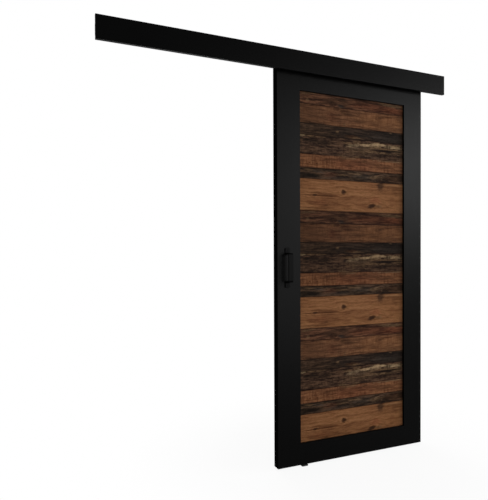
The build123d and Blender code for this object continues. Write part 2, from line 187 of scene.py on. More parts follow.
class Net:
    """The shader nodes of one material or of the world."""

    def __init__(self, tree):
        self.tree = tree
        self.tree.nodes.clear()

    def node(self, kind, settings=None, inputs=None, output=0):
        """Adds a node, sets it up, links or sets its sockets and gives one of its outputs."""
        made = self.tree.nodes.new(kind)
        for name, value in (settings or {}).items():
            if name == "stops":
                self.set_stops(made.color_ramp, value)
            else:
                setattr(made, name, value)
        for name, value in (inputs or {}).items():
            if isinstance(value, Field):
                self.tree.links.new(value.socket, made.inputs[name])
            elif isinstance(value, tuple) and made.inputs[name].type == "RGBA":
                made.inputs[name].default_value = (*value[:3], 1.0)
            else:
                made.inputs[name].default_value = value
        return Field(self, made.outputs[output]) if made.outputs else None

    @staticmethod
    def set_stops(ramp, stops):
        """Gives a ramp its places and colours, first to last."""
        while len(ramp.elements) < len(stops):
            ramp.elements.new(1.0)
        for element, (place, colour) in zip(ramp.elements, stops):
            element.position = place
            element.color = (*colour, 1.0)

    def ramp(self, value, stops):
        return self.node("ShaderNodeValToRGB", {"stops": stops}, {"Fac": value})

    def smooth(self, value, low, high):
        """0 below low and 1 above high, or the other way round where low is the higher."""
        inputs = {"Value": value, "From Min": low, "From Max": high}
        return self.node("ShaderNodeMapRange", {"interpolation_type": "SMOOTHSTEP"}, inputs)

    def mix(self, share, first, second, blend="MIX"):
        """Two colours mixed. A Mix node's colours are its inputs 6 and 7 and its output 2."""
        settings = {"data_type": "RGBA", "blend_type": blend}
        return self.node("ShaderNodeMix", settings, {0: share, 6: first, 7: second}, output=2)

    def shade(self, share, colour, by):
        """A colour multiplied by another, as far as share says."""
        return self.mix(share, colour, by, "MULTIPLY")

    def reach(self, place, left, below, half_width, half_height, tilt):
        """How far a place lies from the middle of an ellipse, where its outline counts as 1."""
        inputs = {
            "Vector": place,
            "Location": (left, below, 0.0),
            "Rotation": (0.0, 0.0, math.radians(tilt)),
            "Scale": (half_width, half_height, 1.0),
        }
        inside = self.node("ShaderNodeMapping", {"vector_type": "TEXTURE"}, inputs)
        return self.node("ShaderNodeVectorMath", {"operation": "LENGTH"}, {0: inside}, "Value")

    def point(self):
        """The place on the piece, in metres, as three values."""
        place = self.node("ShaderNodeTexCoord", output="Object")
        return [self.node("ShaderNodeSeparateXYZ", None, {0: place}, axis) for axis in range(3)]

    def vector(self, x, y, z):
        return self.node("ShaderNodeCombineXYZ", None, {0: x, 1: y, 2: z})

    def noise(self, place, detail, roughness):
        """Noise with one cell to each unit of place."""
        inputs = {"Vector": place, "Scale": 1.0, "Detail": detail, "Roughness": roughness}
        return self.node("ShaderNodeTexNoise", {"noise_dimensions": "3D"}, inputs)

    def bump(self, height, depth):
        """A relief of the given depth in metres where height runs from 0 to 1."""
        return self.node("ShaderNodeBump", None, {"Height": height, "Strength": 1.0, "Distance": depth})


PRINCIPLED = "ShaderNodeBsdfPrincipled"


def new_material(name):
    """An empty material and its net."""
    material = bpy.data.materials.new(name)
    material.use_nodes = True
    return material, Net(material.node_tree)


def close_material(net, inputs):
    """Ends a net in one Principled shader."""
    shader = net.node(PRINCIPLED, None, inputs)
    net.node("ShaderNodeOutputMaterial", None, {"Surface": shader})


def paint(piece, material):
    """Gives a piece one material."""
    piece.data.materials.clear()
    piece.data.materials.append(material)


def dress(material, *nodes):
    """Gives CAD pieces one material."""
    for node in nodes:
        paint(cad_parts[node], material)


# Weathered boards. Places are in millimetres, across from the left end of the opening and down from the
# top of the board. A patch is (finish, across, down, half width, half height, strength, tilt), and a knot
# is (across, down, radius, flatness, tilt, strength).
# Tints of the patches: most are weather, and two broad ones on the gold-brown board are painted shade
WEATHER_AND_SHADE_TINTS = {
    "flake": (138, 116, 88),
    "worn": (94, 73, 52),
    "grey": (64, 56, 49),
    "slate": (34, 29, 26),
    "soot": (21, 16, 12),
    "earth": (48, 34, 24),
    "umber": (66, 44, 29),
    "rust": (84, 49, 33),
    "russet": (106, 61, 40),
    "amber": (114, 77, 48),
    "honey": (130, 95, 64),
    "bark": (80, 49, 28),
}
CRISP_FINISHES = ("flake", "worn", "grey")
BOARD_LOOKS = {
    "dark_red": {
        "tones": ((36, 23, 16), (66, 44, 32), (100, 68, 49)),
        "grain": 1.4,
        "saw": 0.10,
        "rough": 0.45,
        "knots": ((190, 50, 14, 0.6, 0, 0.6), (214, 46, 9, 0.7, 0, 0.8)),
        "patches": (
            ("earth", 240, 30, 80, 30, 0.55, 0),
            ("rust", 470, 36, 160, 22, 0.60, 0),
            ("worn", 50, 8, 48, 5, 0.60, -4),
            ("worn", 50, 40, 10, 8, 0.55, 0),
            ("slate", 250, 50, 22, 8, 0.85, 0),
            ("grey", 262, 59, 28, 4, 0.50, 0),
            ("worn", 585, 14, 90, 8, 0.90, 2),
            ("russet", 600, 42, 80, 18, 0.50, 0),
        ),
    },
    "mid_brown": {
        "tones": ((68, 46, 32), (96, 65, 45), (116, 80, 55)),
        "grain": 0.9,
        "saw": 0.28,
        "rough": 0.35,
        "knots": ((222, 8, 16, 0.6, 0, 0.5), (500, 27, 13, 0.4, 0, 0.5)),
        "patches": (
            ("umber", 70, 50, 120, 60, 0.36, 0),
            ("amber", 520, 50, 190, 50, 0.40, 0),
            ("rust", 196, 52, 30, 28, 0.40, 0),
            ("umber", 285, 24, 46, 12, 0.65, 12),
            ("earth", 95, 93, 100, 6, 0.80, 3),
            ("worn", 273, 86, 5, 14, 0.60, 0),
        ),
    },
    "black_brown": {
        "tones": ((28, 21, 16), (48, 36, 27), (72, 54, 41)),
        "grain": 1.25,
        "saw": 0.06,
        "rough": 0.70,
        "knots": (),
        "patches": (
            ("slate", 320, 30, 110, 36, 0.50, 0),
            ("slate", 570, 30, 170, 44, 0.80, 0),
            ("soot", 560, 10, 160, 9, 0.70, 0),
            ("grey", 540, 38, 120, 8, 0.35, 2),
            ("umber", 318, 46, 44, 9, 0.70, 0),
            ("worn", 350, 51, 30, 6, 0.55, -6),
            ("worn", 230, 28, 9, 6, 0.70, 0),
            ("worn", 572, 3, 14, 5, 0.60, 0),
        ),
    },
    "weathered": {
        "tones": ((28, 20, 15), (55, 40, 31), (88, 66, 50)),
        "grain": 1.15,
        "saw": 0.28,
        "rough": 1.0,
        "knots": (),
        "patches": (
            ("soot", 110, 30, 100, 10, 0.60, 0),
            ("flake", 20, 4, 16, 6, 0.75, 0),
            ("worn", 68, 4, 24, 5, 0.80, 0),
            ("worn", 130, 5, 40, 4, 0.60, 0),
            ("grey", 360, 38, 80, 18, 0.55, 0),
            ("worn", 298, 22, 32, 7, 0.75, 0),
            ("worn", 350, 13, 28, 9, 0.60, -10),
            ("worn", 380, 50, 90, 30, 0.50, -6),
            ("flake", 330, 31, 44, 9, 0.60, -8),
            ("flake", 400, 24, 44, 8, 0.80, 0),
            ("flake", 475, 19, 62, 12, 1.00, -2),
            ("flake", 590, 22, 66, 11, 0.90, 2),
            ("worn", 540, 36, 115, 7, 0.85, 1),
            ("soot", 545, 45, 130, 6, 0.85, 0),
            ("soot", 548, 24, 5, 12, 0.75, 0),
            ("soot", 562, 22, 4, 10, 0.70, 0),
            ("worn", 500, 58, 95, 6, 0.70, 2),
            ("worn", 615, 52, 44, 7, 0.55, 0),
            ("earth", 560, 79, 110, 13, 0.55, 0),
            ("worn", 262, 93, 34, 5, 0.65, 0),
            ("worn", 345, 91, 28, 5, 0.65, -8),
        ),
    },
    "red_brown": {
        "tones": ((70, 45, 30), (102, 67, 46), (122, 82, 56)),
        "grain": 1.2,
        "saw": 0.48,
        "rough": 0.35,
        "knots": ((104, 45, 5, 0.6, 0, 0.8), (62, 43, 4, 0.6, 0, 0.8)),
        "patches": (
            ("amber", 110, 34, 120, 40, 0.20, 0),
            ("russet", 320, 42, 120, 30, 0.32, 0),
            ("amber", 580, 36, 120, 40, 0.30, 0),
            ("worn", 290, 7, 74, 5, 0.65, 0),
            ("flake", 570, 5, 110, 4, 0.45, 0),
            ("umber", 400, 14, 18, 7, 0.65, 0),
            ("umber", 78, 28, 3, 36, 0.60, 0),
            ("umber", 100, 3, 90, 4, 0.50, 0),
        ),
    },
    "grey_brown": {
        "tones": ((26, 20, 15), (50, 38, 28), (78, 59, 45)),
        "grain": 1.4,
        "saw": 0.06,
        "rough": 0.85,
        "knots": ((502, 42, 13, 0.8, 0, 0.7),),
        "patches": (
            ("soot", 72, 37, 56, 13, 0.80, 8),
            ("worn", 62, 9, 28, 6, 0.55, 0),
            ("grey", 120, 18, 44, 5, 0.50, 10),
            ("rust", 190, 28, 60, 14, 0.35, 0),
            ("worn", 245, 25, 36, 4, 0.55, 0),
            ("slate", 240, 40, 68, 8, 0.65, 0),
            ("grey", 400, 26, 84, 14, 0.45, 0),
            ("worn", 330, 14, 60, 5, 0.55, 4),
            ("worn", 470, 26, 44, 8, 0.60, -8),
            ("umber", 600, 30, 80, 22, 0.55, 0),
        ),
    },
    "gold_brown": {
        "tones": ((90, 58, 36), (121, 82, 53), (138, 98, 65)),
        "grain": 0.75,
        "saw": 0.06,
        "rough": 0.18,
        "knots": (
            (266, 60, 16, 0.75, 0, 1.0),
            (446, 127, 26, 0.42, -16, 1.0),
            (92, 82, 15, 0.36, 0, 0.9),
            (158, 134, 15, 0.32, -8, 0.5),
        ),
        "patches": (
            # Painted shade: these two broad patches darken the right third of the board, next to the right stile
            ("amber", 600, 80, 130, 90, 0.55, 0),
            ("bark", 630, 76, 110, 90, 0.24, 0),
            ("earth", 504, 14, 24, 32, 0.80, 0),
            ("bark", 120, 83, 100, 4, 0.70, 0),
            ("bark", 150, 96, 80, 3, 0.55, 0),
            ("russet", 470, 96, 38, 18, 0.55, 0),
            ("worn", 490, 126, 28, 9, 0.50, 0),
            ("bark", 610, 93, 90, 4, 0.60, 0),
            ("honey", 590, 11, 76, 6, 0.55, 0),
            ("bark", 30, 15, 30, 4, 0.60, 0),
            ("bark", 200, 17, 26, 4, 0.60, 0),
            ("russet", 120, 118, 60, 16, 0.40, 0),
            ("honey", 40, 152, 64, 5, 0.50, 0),
        ),
    },
}
TONE_STOPS = (0.22, 0.50, 0.78)
GRAIN_CONTRAST = 1.5
GRAIN_DRIFT = 22
SEED_STEP = 3.7

# Noise of the boards: cells to a millimetre across and down, layer, detail and roughness
BOARD_NOISE = {
    "frayed": (0.030, 0.12, 17, 6.0, 0.72),
    "notched": (0.20, 0.03, 23, 3.0, 0.70),
    "drift": (0.0032, 0.009, 11, 2.0, 0.50),
    "bands": (0.0024, 0.036, 0, 3.0, 0.55),
    "streaks": (0.011, 0.105, 3, 6.0, 0.66),
    "fibres": (0.03, 0.55, 5, 4.0, 0.65),
    "hairs": (0.09, 1.9, 29, 3.0, 0.60),
    "pitted": (0.035, 0.11, 7, 6.0, 0.72),
    "saw": (0.085, 0.010, 9, 3.0, 0.70),
    "cracks": (0.006, 0.15, 13, 4.0, 0.50),
}

# Marks on the boards: the level where each starts, the level where it is full, its strength and its tint
BOARD_MARKS = {
    "fibres": (0.62, 0.36, 0.36, (116, 102, 94)),
    "hairs": (0.58, 0.40, 0.26, (138, 122, 112)),
    "saw": (0.50, 0.66, 1.0, (128, 106, 94)),
    "cracks": (0.60, 0.70, 1.0, (110, 90, 78)),
    "pits": (0.42, 0.30, 0.8, (104, 90, 82)),
    "rings": (0.05, 0.60, 0.2, (140, 104, 80)),
}
SAW_BANDS = 0.6
PIT_FIBRES = 0.5
CRACK_STRENGTH = 0.45
ROUGH_CRACK_STRENGTH = 0.35

# Patches: how far an edge frays, where it starts and is full, and the shades within
CRISP_EDGE = (3.4, 1.12, 0.72)
SOFT_EDGE = (1.6, 1.40, 0.40)
PATCH_NOTCH = 0.6
PATCH_LEVELS = (0.25, 0.72)
PATCH_DARK = 0.58
PATCH_LIGHT = 1.30

# Knots, with distances counted in their radius
KNOT_BROWN = (34, 21, 13)
KNOT_STRENGTH = 0.9
KNOT_FRAY = 2.4
KNOT_EDGE = (1.30, 0.55)
KNOT_BEND = 0.7
KNOT_BEND_FADE = -0.12
RING_WAVES = 4.0
RING_FADE = -0.5
RING_START = (0.8, 1.4)

# Dark joints, and a band of painted shade across the middle of the door's height, in millimetres
JOINT_BLACK = (16, 11, 8)
JOINT_STRENGTH = 0.74
JOINT_FRAY = 4.0
JOINT_EDGE = (3.2, -0.2)
BAND_SHADE_TINT = (224, 222, 220)
BAND_SHADE_FADE_IN = (580, 608)
BAND_SHADE_FADE_OUT = (1080, 850)

# Bump and gloss of the boards
BUMP_DEPTH = 0.0010
STREAK_BUMP = 0.4
FIBRE_BUMP = 0.2
HAIR_BUMP = 0.08
PIT_BUMP = 0.05
ROUGH_PIT_BUMP = 0.5
CRACK_BUMP = 0.6
FLAKE_BUMP = 0.4
KNOT_BUMP = 0.3
BOARD_ROUGHNESS = 0.80
STREAK_GLOSS = 0.16
BOARD_SPECULAR = 0.01


def mark(net, kind, level):
    """Where a mark shows, from 0 to 1."""
    start, full, strength, tint = BOARD_MARKS[kind]
    return net.smooth(level, start, full)


def darken(net, colour, kind, share, scale=1.0):
    """A colour with a mark on it, stronger or weaker as scale says."""
    start, full, strength, tint = BOARD_MARKS[kind]
    return net.shade(share * (strength * scale), colour, from_screen(*tint))


def bend_round_knots(net, look, place, down, frayed):
    """The grain bent round each knot, the cores of the knots and the rings round them."""
    grain_down = down
    cores = rings = None
    for left, below, radius, flatness, tilt, strength in look["knots"]:
        far = net.reach(place, left, below, radius, radius * flatness, tilt)
        near = far + frayed * KNOT_FRAY
        grain_down = grain_down - (down - below) * (far * far * KNOT_BEND_FADE).exp() * KNOT_BEND
        core = net.smooth(near, *KNOT_EDGE) * strength
        ring = (near * RING_WAVES).sine() * (near * RING_FADE).exp() * net.smooth(near, *RING_START)
        cores = core if cores is None else cores.most(core)
        rings = ring if rings is None else rings + ring
    return grain_down, cores, rings


def weather_and_painted_shade(net, look, place, level, frayed, notched, colour):
    """The colour with its patches of weather and of painted shade, and where old paint flakes."""
    flaked = None
    for finish, left, below, half_width, half_height, strength, tilt in look["patches"]:
        fray, start, full = CRISP_EDGE if finish in CRISP_FINISHES else SOFT_EDGE
        far = net.reach(place, left, below, half_width, half_height, tilt)
        patch = net.smooth(far + frayed * fray + notched * PATCH_NOTCH, start, full) * strength
        tint = from_screen(*WEATHER_AND_SHADE_TINTS[finish])
        shades = net.mix(net.smooth(level, *PATCH_LEVELS), tinted(tint, PATCH_DARK), tinted(tint, PATCH_LIGHT))
        colour = net.mix(patch, colour, shades)
        if finish == "flake":
            flaked = patch if flaked is None else flaked.most(patch)
    return colour, flaked


def board_material(name, tone, top, height, seed):
    """Old softwood: streaked grain that runs round its knots, weather, saw marks and dark joints."""
    look = BOARD_LOOKS[tone]
    rough = look["rough"]
    material, net = new_material(name)
    x, y, z = net.point()
    across = (x - OPENING_LEFT) * MILLIMETRES
    down = (top - z) * MILLIMETRES
    place = net.vector(across, down, 0.0)

    def noise(kind, lower):
        cells_across, cells_down, layer, detail, roughness = BOARD_NOISE[kind]
        spot = net.vector(across * cells_across, lower * cells_down, seed * SEED_STEP + layer)
        return net.noise(spot, detail, roughness)

    frayed = noise("frayed", down) - 0.5
    notched = noise("notched", down) - 0.5
    grain_down, knots, rings = bend_round_knots(net, look, place, down, frayed)

    # Bands of colour, streaks and fine grain, all drawn out along the board
    wavy_down = grain_down + (noise("drift", grain_down) - 0.5) * GRAIN_DRIFT
    kinds = ("bands", "streaks", "fibres", "hairs", "pitted")
    bands, streaks, fibres, hairs, pitted = (noise(kind, wavy_down) for kind in kinds)
    level = bands + (streaks - 0.5) * (GRAIN_CONTRAST * look["grain"]) + (pitted - 0.5) * (GRAIN_CONTRAST * rough)
    colour = net.ramp(level, [(stop, from_screen(*tint)) for stop, tint in zip(TONE_STOPS, look["tones"])])
    colour, flaked = weather_and_painted_shade(net, look, place, level, frayed, notched, colour)

    # Fine dark marks of the fibres, the saw, cracks, pits and knots
    cracks = mark(net, "cracks", noise("cracks", wavy_down))
    sawn = mark(net, "saw", noise("saw", down) + (bands - 0.5) * SAW_BANDS)
    pits = mark(net, "pits", pitted + (fibres - 0.5) * PIT_FIBRES)
    colour = darken(net, colour, "fibres", mark(net, "fibres", fibres))
    colour = darken(net, colour, "hairs", mark(net, "hairs", hairs))
    colour = darken(net, colour, "saw", sawn, look["saw"])
    colour = darken(net, colour, "cracks", cracks, CRACK_STRENGTH + ROUGH_CRACK_STRENGTH * rough)
    colour = darken(net, colour, "pits", pits, rough)
    if knots is not None:
        colour = darken(net, colour, "rings", mark(net, "rings", rings))
        colour = net.mix(knots * KNOT_STRENGTH, colour, from_screen(*KNOT_BROWN))

    # Painted shade: a band across the middle of the door's height, around the pull, is made darker
    below_top = (OPENING_TOP - z) * MILLIMETRES
    painted_shade_band = net.smooth(below_top, *BAND_SHADE_FADE_IN) * net.smooth(below_top, *BAND_SHADE_FADE_OUT)
    colour = net.shade(painted_shade_band, colour, from_screen(*BAND_SHADE_TINT))

    # Dirt gathers in the joints between boards
    edge = down.least(height * MILLIMETRES - down)
    joint = net.smooth(edge + frayed * JOINT_FRAY, *JOINT_EDGE)
    colour = net.mix(joint * JOINT_STRENGTH, colour, from_screen(*JOINT_BLACK))

    relief = streaks * STREAK_BUMP + fibres * FIBRE_BUMP + hairs * HAIR_BUMP
    relief = relief + pitted * (ROUGH_PIT_BUMP * rough + PIT_BUMP) - cracks * CRACK_BUMP
    if flaked is not None:
        relief = relief + flaked * FLAKE_BUMP
    if knots is not None:
        relief = relief - knots * KNOT_BUMP
    close_material(
        net,
        {
            "Base Color": colour,
            "Roughness": BOARD_ROUGHNESS - streaks * STREAK_GLOSS,
            "Specular IOR Level": BOARD_SPECULAR,
            "Normal": net.bump(relief, BUMP_DEPTH),
        },
    )
    return material


# Noise of the plain finishes: cells to a metre along their grain and across it, detail and roughness
FINISH_NOISE = {
    "lacquer_grain": (9, 420, 4.0, 0.6),
    "lacquer_peel": (620, 620, 2.0, 0.5),
    "lacquer_cloud": (4, 4, 3.0, 0.5),
    "metal_lines": (14, 1600, 3.0, 0.5),
    "metal_smear": (60, 60, 4.0, 0.6),
    "moulded_cloud": (30, 30, 3.0, 0.5),
    "cast_skin": (900, 900, 4.0, 0.6),
    "cast_cloud": (50, 50, 3.0, 0.5),
    "beech": (300, 300, 3.0, 0.5),
    "black_rubber": (500, 500, 3.0, 0.5),
    "nylon": (700, 700, 3.0, 0.5),
    "black_nylon": (600, 600, 3.0, 0.5),
    "black_powder_coat": (1100, 1100, 3.0, 0.5),
}

# Roughness and reflection of what is moulded or coated
MOULDED_GLOSS = {
    "beech": (0.60, 0.30),
    "black_rubber": (0.72, 0.30),
    "nylon": (0.42, 0.45),
    "black_nylon": (0.50, 0.35),
    "black_powder_coat": (0.48, 0.014),
}

# The axis that drawn lines follow, and roughness
METAL_GLOSS = {"drawn_aluminium": (0, 0.34), "zinc_steel": (1, 0.30)}
CAST_ROUGHNESS = 0.46
CAST_METALLIC = 0.85
DULL_ROUGHNESS = 0.9
DULL_EDGE = (0.5, 0.8)

# How far the noises change the tint, the roughness and the relief of each finish
LACQUER_LIGHT = 1.5
LACQUER_CLOUD_TINT = 0.5
LACQUER_GRAIN_TINT = 0.3
LACQUER_CLOUD_GLOSS = 0.08
LACQUER_GRAIN_GLOSS = 0.10
LACQUER_GRAIN_BUMP = 0.6
LACQUER_PEEL_BUMP = 0.4
LACQUER_BUMP = 0.00006
METAL_DARK = 0.82
METAL_LINE_GLOSS = 0.16
METAL_SMEAR_GLOSS = 0.12
METAL_BUMP = 0.00003
MOULDED_DARK = 0.85
MOULDED_LIGHT = 1.1
MOULDED_GRAIN_GLOSS = 0.12
MOULDED_BUMP = 0.00005
CAST_DARK = 0.7
CAST_SKIN_GLOSS = 0.2
CAST_BUMP = 0.0001


def finish_noise(net, kind, along=0):
    """One of the noises of the plain finishes."""
    cells_along, cells_across, detail, roughness = FINISH_NOISE[kind]
    cells = [cells_along if axis == along else cells_across for axis in range(3)]
    return net.noise(net.vector(*(part * count for part, count in zip(net.point(), cells))), detail, roughness)


def lacquer_material(name, colour, along, roughness, specular):
    """Black lacquer over wood: satin faces with a faint closed grain, and dull edges."""
    material, net = new_material(name)
    grain = finish_noise(net, "lacquer_grain", along)
    peel = finish_noise(net, "lacquer_peel")
    cloud = finish_noise(net, "lacquer_cloud")
    tint = cloud * LACQUER_CLOUD_TINT + grain * LACQUER_GRAIN_TINT
    relief = grain * LACQUER_GRAIN_BUMP + peel * LACQUER_PEEL_BUMP
    common = {
        "Base Color": net.mix(tint, colour, tinted(colour, LACQUER_LIGHT)),
        "Normal": net.bump(relief, LACQUER_BUMP),
    }
    gloss = roughness + (grain - 0.5) * LACQUER_GRAIN_GLOSS + (cloud - 0.5) * LACQUER_CLOUD_GLOSS
    satin = net.node(PRINCIPLED, None, {**common, "Roughness": gloss, "Specular IOR Level": specular})
    dull = net.node(PRINCIPLED, None, {**common, "Roughness": DULL_ROUGHNESS, "Specular IOR Level": 0.0})
    facing = net.node("ShaderNodeTexCoord", output="Normal")
    sideways = abs(net.node("ShaderNodeSeparateXYZ", None, {0: facing}, "X"))
    edges = net.smooth(sideways, *DULL_EDGE)
    surface = net.node("ShaderNodeMixShader", None, {0: edges, 1: satin, 2: dull})
    net.node("ShaderNodeOutputMaterial", None, {"Surface": surface})
    return material


def metal_material(name, colour):
    """Drawn or turned metal with fine lines along one axis."""
    along, roughness = METAL_GLOSS[name]
    material, net = new_material(name)
    lines = finish_noise(net, "metal_lines", along)
    smear = finish_noise(net, "metal_smear")
    close_material(
        net,
        {
            "Base Color": net.mix(smear, tinted(colour, METAL_DARK), colour),
            "Metallic": 1.0,
            "Roughness": roughness + (lines - 0.5) * METAL_LINE_GLOSS + (smear - 0.5) * METAL_SMEAR_GLOSS,
            "Normal": net.bump(lines, METAL_BUMP),
        },
    )
    return material


def moulded_material(name, colour):
    """Moulded plastic, rubber, powder coat or turned wood with a fine even grain."""
    roughness, specular = MOULDED_GLOSS[name]
    material, net = new_material(name)
    grain = finish_noise(net, name)
    cloud = finish_noise(net, "moulded_cloud")
    close_material(
        net,
        {
            "Base Color": net.mix(cloud, tinted(colour, MOULDED_DARK), tinted(colour, MOULDED_LIGHT)),
            "Roughness": roughness + (grain - 0.5) * MOULDED_GRAIN_GLOSS,
            "Specular IOR Level": specular,
            "Normal": net.bump(grain, MOULDED_BUMP),
        },
    )
    return material


def cast_material(name, colour):
    """Cast metal with a pebbled skin."""
    material, net = new_material(name)
    skin = finish_noise(net, "cast_skin")
    cloud = finish_noise(net, "cast_cloud")
    close_material(
        net,
        {
            "Base Color": net.mix(cloud, tinted(colour, CAST_DARK), colour),
            "Metallic": CAST_METALLIC,
            "Roughness": CAST_ROUGHNESS + (skin - 0.5) * CAST_SKIN_GLOSS,
            "Normal": net.bump(skin, CAST_BUMP),
        },
    )
    return material


def start_piece(name, add, **options):
    """Adds a primitive with nothing else selected, with its place in its mesh."""
    bpy.ops.object.select_all(action="DESELECT")
    add(**options)
    bpy.ops.object.transform_apply(location=True, rotation=True, scale=True)
    piece = bpy.context.object
    piece.name = name
    return piece


def activate(piece):
    """Makes one object the only one selected."""
    bpy.ops.object.select_all(action="DESELECT")
    piece.select_set(True)
    bpy.context.view_layer.objects.active = piece


def pick_faces(piece, wanted):
    """Selects, in edit mode, the faces whose middle and normal pass a test."""
    bpy.ops.mesh.select_all(action="DESELECT")
    shape = bmesh.from_edit_mesh(piece.data)
    for face in shape.faces:
        face.select_set(wanted(face.calc_center_median(), face.normal))
    bmesh.update_edit_mesh(piece.data)


def pick_edges(piece, wanted):
    """Selects, in edit mode, the edges whose two ends pass a test."""
    bpy.ops.mesh.select_mode(type="EDGE")
    bpy.ops.mesh.select_all(action="DESELECT")
    shape = bmesh.from_edit_mesh(piece.data)
    for edge in shape.edges:
        edge.select_set(wanted(edge.verts[0].co, edge.verts[1].co))
    bmesh.update_edit_mesh(piece.data)


def grow(height, share=1.0):
    """Extrudes the picked face along Z and scales it about the piece's axis."""
    bpy.ops.mesh.extrude_region_move(TRANSFORM_OT_translate={"value": (0.0, 0.0, height)})
    bpy.ops.transform.resize(value=(share, share, 1.0), center_override=(0.0, 0.0, 0.0))


def pick_top(piece):
    """Selects the faces that look up."""
    pick_faces(piece, lambda middle, normal: normal.z > SQUARE_ON)


def pick_underside(piece):
    """Selects the faces that look down."""
    pick_faces(piece, lambda middle, normal: normal.z < -SQUARE_ON)


def carve(piece, cutter, operation="DIFFERENCE"):
    """Cuts a piece by another, or joins or trims it with another, which is used up."""
    activate(piece)
    bpy.ops.object.modifier_add(type="BOOLEAN")
    cut = piece.modifiers[-1]
    cut.operation = operation
    cut.solver = "EXACT"
    cut.object = cutter
    bpy.ops.object.modifier_apply(modifier=cut.name)
    bpy.data.objects.remove(cutter)


def weld(piece):
    """Merges the points that a cut left too close together."""
    activate(piece)
    bpy.ops.object.mode_set(mode="EDIT")
    bpy.ops.mesh.select_all(action="SELECT")
    bpy.ops.mesh.remove_doubles(threshold=WELD_DISTANCE)
    bpy.ops.object.mode_set(mode="OBJECT")


def round_bar(name, radius, low, high, sides=SCREW_SIDES):
    """A bar along Z, between two heights."""
    return start_piece(
        name,
        bpy.ops.mesh.primitive_cylinder_add,
        vertices=sides,
        radius=radius,
        depth=high - low,
        location=(0.0, 0.0, (low + high) / 2),
    )


def hexagon_bar(name, low, high):
    """A hexagonal bar along Z with two corners on X, its rims chamfered as on a nut or a bolt head."""
    piece = start_piece(
        name,
        bpy.ops.mesh.primitive_cylinder_add,
        vertices=HEXAGON_SIDES,
        radius=HEXAGON_RADIUS,
        depth=high - low,
        location=(0.0, 0.0, (low + high) / 2),
        rotation=(0.0, 0.0, math.radians(90)),
    )
    barrel_low, barrel_high = low + HEXAGON_CHAMFER, high - HEXAGON_CHAMFER
    barrel = round_bar("barrel", BARREL_RADIUS, barrel_low, barrel_high, BARREL_SIDES)
    bpy.ops.object.mode_set(mode="EDIT")
    pick_top(barrel)
    grow(HEXAGON_CHAMFER, BARREL_END)
    pick_underside(barrel)
    grow(-HEXAGON_CHAMFER, BARREL_END)
    bpy.ops.object.mode_set(mode="OBJECT")
    carve(piece, barrel, "INTERSECT")
    weld(piece)
    return piece


def sink_socket(piece, top):
    """A hexagon socket in the top of a screw."""
    low, high = top - SOCKET_DEPTH, top + SOCKET_DEPTH
    carve(piece, round_bar("socket", SOCKET_RADIUS, low, high, HEXAGON_SIDES))


def sink_cross(piece, top):
    """A cross recess in the top of a screw, narrower below."""
    for turn in (0, 90):
        blade = start_piece(
            "blade",
            bpy.ops.mesh.primitive_cube_add,
            size=1.0,
            location=(0.0, 0.0, top),
            rotation=(0.0, 0.0, math.radians(turn)),
            scale=(CROSS_LENGTH, CROSS_WIDTH, 2 * CROSS_DEPTH),
        )
        bpy.ops.object.mode_set(mode="EDIT")
        pick_underside(blade)
        bpy.ops.transform.resize(value=(CROSS_TAPER, CROSS_TAPER, 1.0), center_override=(0.0, 0.0, 0.0))
        bpy.ops.object.mode_set(mode="OBJECT")
        carve(piece, blade)


def sunk_screw(length, sink):
    """A countersunk screw with the top of its head at the origin."""
    head = SCREW_HEAD_RADIUS - SCREW_RADIUS
    piece = round_bar("sunk_screw", SCREW_RADIUS, SCREW_TIP - length, -head)
    bpy.ops.object.mode_set(mode="EDIT")
    pick_underside(piece)
    grow(-SCREW_TIP, SCREW_POINT)
    pick_top(piece)
    grow(head, SCREW_HEAD_RADIUS / SCREW_RADIUS)
    bpy.ops.object.mode_set(mode="OBJECT")
    sink(piece, 0.0)
    return piece


def pan_screw(length, head):
    """A pan head screw with the seat of its head at the origin."""
    piece = round_bar("pan_screw", SCREW_RADIUS, SCREW_TIP - length, 0.0)
    bpy.ops.object.mode_set(mode="EDIT")
    pick_underside(piece)
    grow(-SCREW_TIP, SCREW_POINT)
    pick_top(piece)
    grow(0.0, SCREW_HEAD_RADIUS / SCREW_RADIUS)
    for height, share in PAN_HEAD_STEPS:
        grow(head * height, share)
    bpy.ops.object.mode_set(mode="OBJECT")
    sink_cross(piece, head)
    return piece


def set_screw(low, high):
    """A grub screw with a hexagon socket in its upper end."""
    piece = round_bar("set_screw", SET_SCREW_RADIUS, low, high - SET_SCREW_CHAMFER)
    bpy.ops.object.mode_set(mode="EDIT")
    pick_top(piece)
    grow(SET_SCREW_CHAMFER, SET_SCREW_END)
    bpy.ops.object.mode_set(mode="OBJECT")
    sink_socket(piece, high)
    return piece


def threaded_bolt(reach):
    """A hexagon bolt with the seat of its head at the origin and ridges of thread up to its end."""
    piece = round_bar("bolt", BOLT_RADIUS, -BOLT_HEAD_HEIGHT / 2, BOLT_NECK)
    bpy.ops.object.mode_set(mode="EDIT")
    pick_top(piece)
    ridges = int((reach - BOLT_NECK) / BOLT_PITCH) - 1
    for ridge in range(ridges):
        grow(BOLT_PITCH / 2, BOLT_ROOT)
        grow(BOLT_PITCH / 2, 1 / BOLT_ROOT)
    rest = reach - BOLT_NECK - ridges * BOLT_PITCH
    grow(rest / 2)
    grow(rest / 2, BOLT_ROOT)
    bpy.ops.object.mode_set(mode="OBJECT")
    carve(piece, hexagon_bar("bolt_head", -BOLT_HEAD_HEIGHT, 0.0), "UNION")
    weld(piece)
    return piece


def lock_nut(height):
    """A thin hexagon nut that stands on the origin."""
    piece = hexagon_bar("nut", 0.0, height)
    carve(piece, round_bar("bore", NUT_BORE, -height, 2 * height, BARREL_SIDES))
    weld(piece)
    return piece


